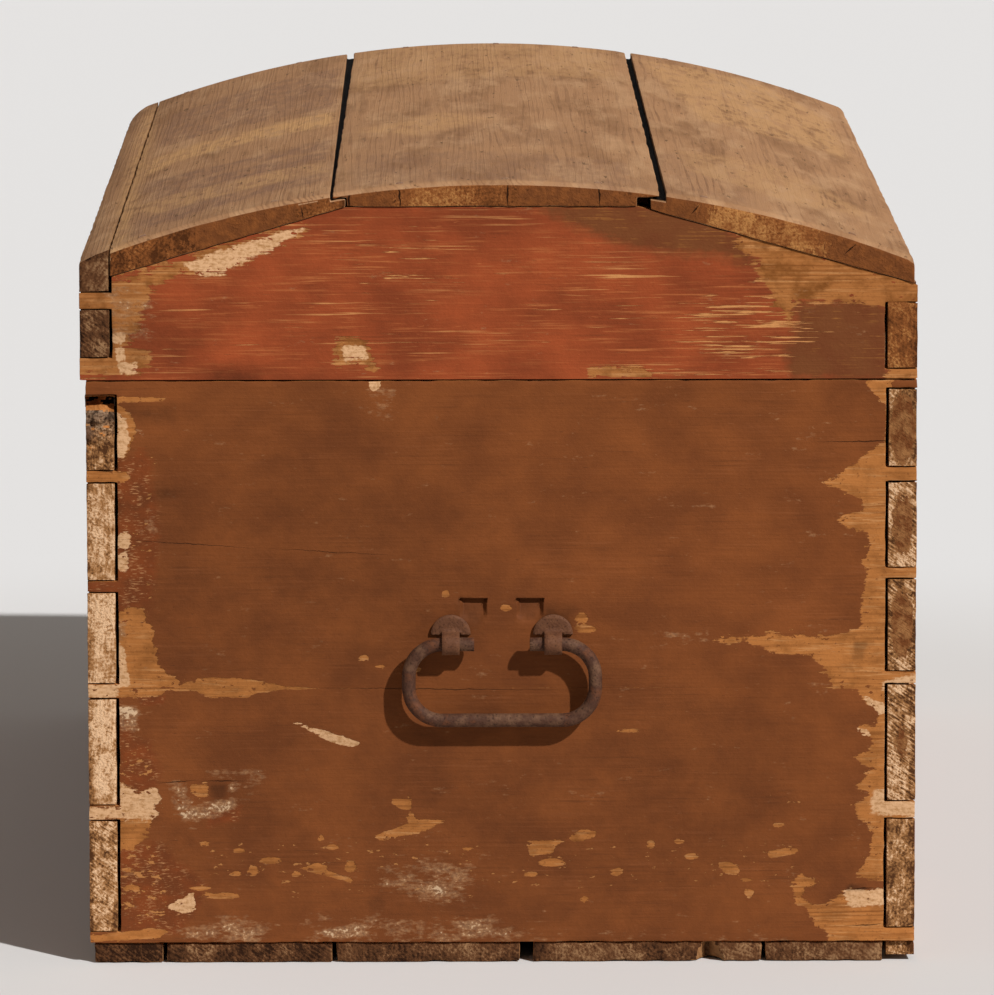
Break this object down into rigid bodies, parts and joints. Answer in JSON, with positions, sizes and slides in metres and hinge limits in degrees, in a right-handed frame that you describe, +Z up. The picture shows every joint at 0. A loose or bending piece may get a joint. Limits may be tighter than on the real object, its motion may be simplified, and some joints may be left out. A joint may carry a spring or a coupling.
{
  "type": "dome top trunk",
  "caption": "Dovetailed pine trunk with a low coved plank lid on arched gables, strap hinges, chest lock and swinging iron end handles, for storing linen and clothes.",
  "frame": {"origin": "on the surface that the trunk stands on, midway between its ends and between its front and back walls", "axes": "+X along the trunk, towards the end with the handle that the picture shows; +Y towards the hinged back; +Z up"},
  "size_m": [1.1418, 0.6144, 0.5724],
  "materials": {
    "painted_pine": "worn brown paint",
    "red_painted_pine": "worn red paint",
    "bare_pine": "dark aged wood",
    "weathered_pine": "weathered bare wood",
    "forged_iron": "rusty, matt",
    "nail_iron": "rusty, matt"
  },
  "bodies": {
    "trunk": {"right_end_lower_board": "painted_pine", "right_end_upper_board": "painted_pine", "left_end_lower_board": "painted_pine", "left_end_upper_board": "painted_pine", "front_lower_board": "painted_pine", "front_upper_board": "painted_pine", "back_lower_board": "painted_pine", "back_upper_board": "painted_pine", "bottom_board_1": "bare_pine", "bottom_board_2": "bare_pine", "bottom_board_3": "bare_pine", "bottom_board_4": "bare_pine", "bottom_board_5": "bare_pine", "right_handle_front_staple": "forged_iron", "right_handle_back_staple": "forged_iron", "left_handle_front_staple": "forged_iron", "left_handle_back_staple": "forged_iron", "right_hinge_body_strap": "forged_iron", "left_hinge_body_strap": "forged_iron", "right_hinge_pin": "forged_iron", "left_hinge_pin": "forged_iron", "escutcheon": "forged_iron", "lock_case": "forged_iron", "bottom_nails": "nail_iron", "hinge_body_nails": "nail_iron", "escutcheon_nails": "nail_iron", "lock_nails": "nail_iron"},
    "lid": {"lid_right_gable": "red_painted_pine", "lid_left_gable": "red_painted_pine", "lid_front_rail": "weathered_pine", "lid_back_rail": "weathered_pine", "lid_front_plank": "weathered_pine", "lid_middle_plank": "weathered_pine", "lid_back_plank": "weathered_pine", "right_hinge_lid_strap": "forged_iron", "left_hinge_lid_strap": "forged_iron", "lid_hook": "forged_iron", "lid_nails": "nail_iron", "hinge_lid_nails": "nail_iron", "hook_nails": "nail_iron"},
    "right_handle": {"right_handle_bail": "forged_iron"},
    "left_handle": {"left_handle_bail": "forged_iron"},
    "bolt": {"lock_bolt": "forged_iron"}
  },
  "joints": [
    {"name": "lid_hinge", "type": "hinge", "parent": "trunk", "child": "lid", "pos_m": [0, 0.3054, 0.4274], "axis": [-1, 0, 0], "range_deg": [0, 100]},
    {"name": "right_handle_swing", "type": "hinge", "parent": "trunk", "child": "right_handle", "pos_m": [0.563, 0, 0.2365], "axis": [0, -1, 0], "range_deg": [-7, 175]},
    {"name": "left_handle_swing", "type": "hinge", "parent": "trunk", "child": "left_handle", "pos_m": [-0.563, 0, 0.2365], "axis": [0, 1, 0], "range_deg": [-7, 175]},
    {"name": "lock_bolt_slide", "type": "slide", "parent": "trunk", "child": "bolt", "axis": [-1, 0, 0], "range_m": [0, 0.014]}
  ]
}
